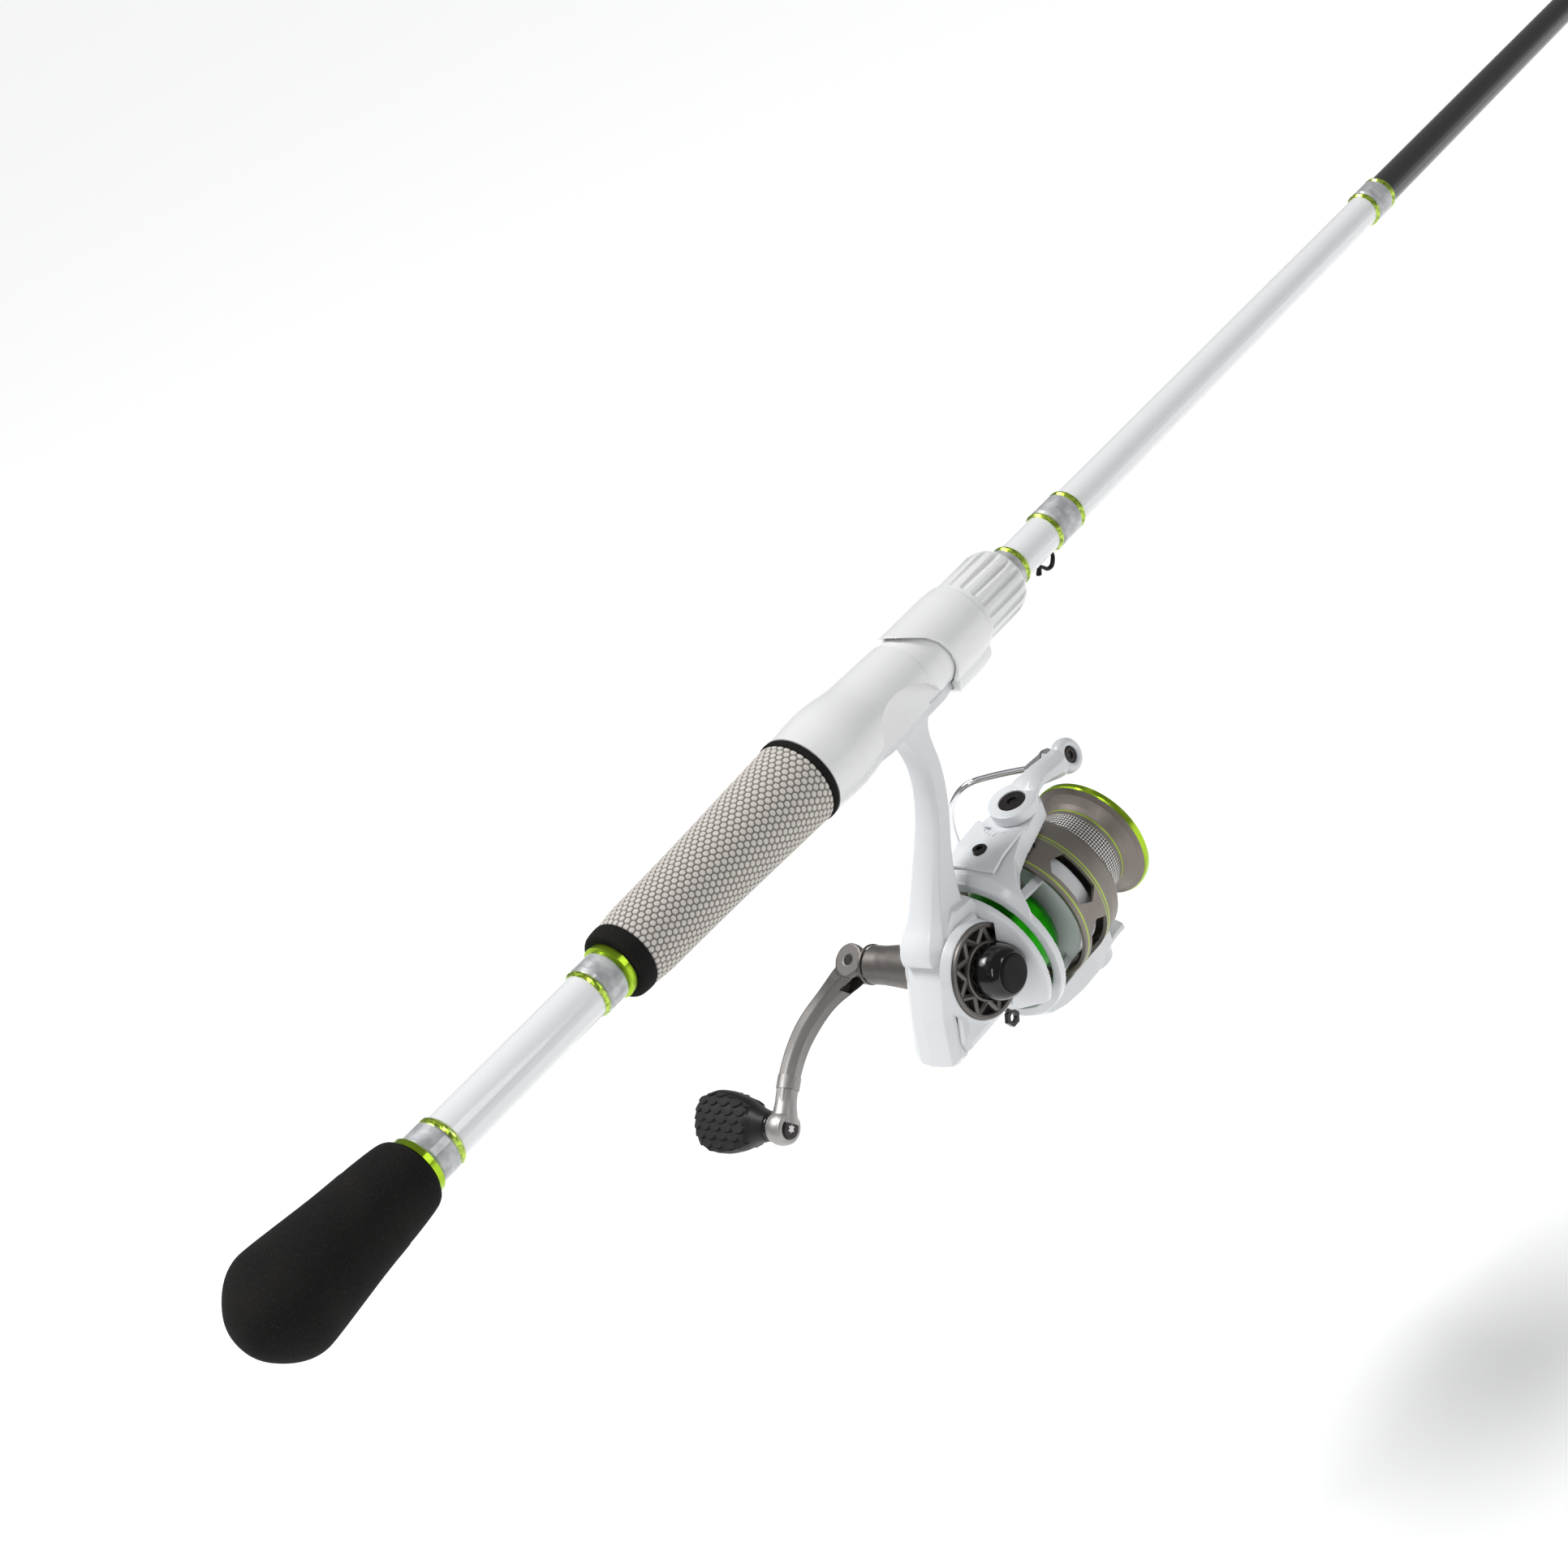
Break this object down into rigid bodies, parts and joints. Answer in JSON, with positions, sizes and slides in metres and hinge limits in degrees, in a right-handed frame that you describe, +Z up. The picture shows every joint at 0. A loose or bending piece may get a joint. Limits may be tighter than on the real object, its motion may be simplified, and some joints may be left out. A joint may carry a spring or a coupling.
{
  "type": "fishing rod and reel",
  "caption": "One-piece spinning rod with line guides, and a fixed-spool reel clamped in its seat, with folding crank, rotor, bail, drag knob and oscillating spool.",
  "frame": {"origin": "on the rod's axis at the reel seat, above the crank's axis, where the hand closes", "axes": "+Y along the rod to its tip, +Z up with the reel hanging towards -Z, +X to the right side of the reel, so the crank is on -X"},
  "size_m": [0.1232, 2.0618, 0.1477],
  "materials": {
    "eva_foam": "speckled matte foam",
    "hex_grip": "matte polymer with raised hexagons",
    "lime_metal": "polished lime green anodised",
    "pearl_blank": "pearl white lacquer, matte black towards the tip",
    "grey_thread": "grey thread under clear resin",
    "lime_trim": "crinkled metallic lime",
    "seat_white": "pearl white",
    "black_wire": "black coated wire",
    "ring_insert": "polished ceramic",
    "body_white": "pearl white paint",
    "gunmetal": "gunmetal anodised",
    "black_gloss": "gloss black",
    "black_rubber": "moulded rubber with a scale texture",
    "green_drum": "green anodised",
    "steel": "machined",
    "brass_gear": "machined",
    "zinc_gear": "die cast",
    "chrome_wire": "chrome plated",
    "spool_taupe": "taupe anodised with lime pinstripes",
    "dark_screw": "black oxide",
    "felt": "drag felt",
    "arm_silver": "gunmetal to silver"
  },
  "bodies": {
    "rod_and_reel": {"rod_blank": "pearl_blank", "butt_grip": "eva_foam", "grip_rings": "lime_metal", "thread_wraps": "grey_thread", "trim_bands": "lime_trim", "foam_rings": "eva_foam", "rear_grip": "hex_grip", "reel_seat": "seat_white", "hook_keeper": "black_wire", "guide_frame_1": "black_wire", "guide_frame_2": "black_wire", "guide_frame_3": "black_wire", "guide_frame_4": "black_wire", "guide_frame_5": "black_wire", "guide_frame_6": "black_wire", "guide_rings": "ring_insert", "guide_wraps": "grey_thread", "tip_top": "black_wire", "reel_body": "body_white", "side_cover": "body_white", "body_screws": "dark_screw", "side_ring": "gunmetal", "clutch_housing": "green_drum", "roller_clutch": "steel", "pinion_bearing": "steel", "crank_bearings": "steel", "slider_rail": "steel", "oscillation_stud": "steel"},
    "hood": {"seat_hood": "seat_white"},
    "nut": {"seat_nut": "seat_white"},
    "lever": {"reverse_lever": "black_gloss"},
    "crank": {"crank_shaft": "steel", "main_gear": "zinc_gear", "oscillation_driver": "zinc_gear", "handle_shank": "gunmetal", "fold_pin": "dark_screw", "handle_cap": "black_gloss"},
    "arm": {"handle_arm": "arm_silver", "knob_shaft": "steel"},
    "grip_knob": {"knob": "black_rubber"},
    "oscillator": {"oscillation_gear": "zinc_gear"},
    "shaft": {"main_shaft": "steel", "shaft_slider": "zinc_gear"},
    "rotor_unit": {"rotor": "body_white", "pinion": "brass_gear", "rotor_nut": "steel", "clutch_sleeve": "steel", "arm_cover": "body_white", "rotor_screws": "dark_screw"},
    "bail": {"bail_arm": "body_white", "bail_lever": "body_white", "bail_wire": "chrome_wire", "bail_cone": "chrome_wire", "roller_screw": "dark_screw"},
    "roller": {"line_roller": "chrome_wire"},
    "spool_unit": {"spool": "spool_taupe", "spool_lip": "spool_taupe", "lime_rim": "lime_metal", "drag_washers": "felt"},
    "drag": {"drag_knob": "black_gloss"}
  },
  "joints": [
    {"name": "hood_slide", "type": "slide", "parent": "rod_and_reel", "child": "hood", "axis": [0, 1, 0], "range_m": [0, 0.0075]},
    {"name": "nut_spin", "type": "hinge", "parent": "hood", "child": "nut", "pos_m": [0, 0.076, 0], "axis": [0, 1, 0], "range_deg": [0, 1800]},
    {"name": "lever_flip", "type": "hinge", "parent": "rod_and_reel", "child": "lever", "pos_m": [0.0064, 0.0065, -0.103], "axis": [1, 0, 0], "range_deg": [-12, 12]},
    {"name": "crank_spin", "type": "hinge", "parent": "rod_and_reel", "child": "crank", "pos_m": [0, 0, -0.087], "axis": [1, 0, 0], "continuous": true},
    {"name": "handle_fold", "type": "hinge", "parent": "crank", "child": "arm", "pos_m": [-0.041, 0, -0.087], "axis": [0, -0.613, 0.7901], "range_deg": [0, 25]},
    {"name": "knob_spin", "type": "hinge", "parent": "arm", "child": "grip_knob", "pos_m": [-0.08, -0.04345, -0.12072], "axis": [1, 0, 0], "continuous": true},
    {"name": "oscillator_spin", "type": "hinge", "parent": "rod_and_reel", "child": "oscillator", "pos_m": [0.0055, -0.00634, -0.09605], "axis": [1, 0, 0], "continuous": true},
    {"name": "shaft_slide", "type": "slide", "parent": "rod_and_reel", "child": "shaft", "axis": [0, 1, 0], "range_m": [-0.005, 0.006]},
    {"name": "rotor_spin", "type": "hinge", "parent": "rod_and_reel", "child": "rotor_unit", "pos_m": [0, 0.03, -0.093], "axis": [0, 1, 0], "continuous": true},
    {"name": "bail_flip", "type": "hinge", "parent": "rotor_unit", "child": "bail", "pos_m": [0, 0.0536, -0.093], "axis": [0.1207, -0.1392, 0.9829], "range_deg": [-100, 0]},
    {"name": "roller_spin", "type": "hinge", "parent": "bail", "child": "roller", "pos_m": [0.0086, 0.076, -0.0592], "axis": [-0.97, -0.0802, -0.2295], "continuous": true},
    {"name": "spool_spin", "type": "hinge", "parent": "shaft", "child": "spool_unit", "pos_m": [0, 0.06, -0.093], "axis": [0, 1, 0], "continuous": true},
    {"name": "drag_turn", "type": "hinge", "parent": "shaft", "child": "drag", "pos_m": [0, 0.078, -0.093], "axis": [0, 1, 0], "range_deg": [-360, 720]}
  ],
  "couplings": [
    {"joint": "hood_slide", "follows": "nut_spin", "m_per_rad": 0.00023873},
    {"joint": "rotor_spin", "follows": "crank_spin", "ratio": 6.2},
    {"joint": "oscillator_spin", "follows": "crank_spin", "ratio": -0.63636}
  ]
}
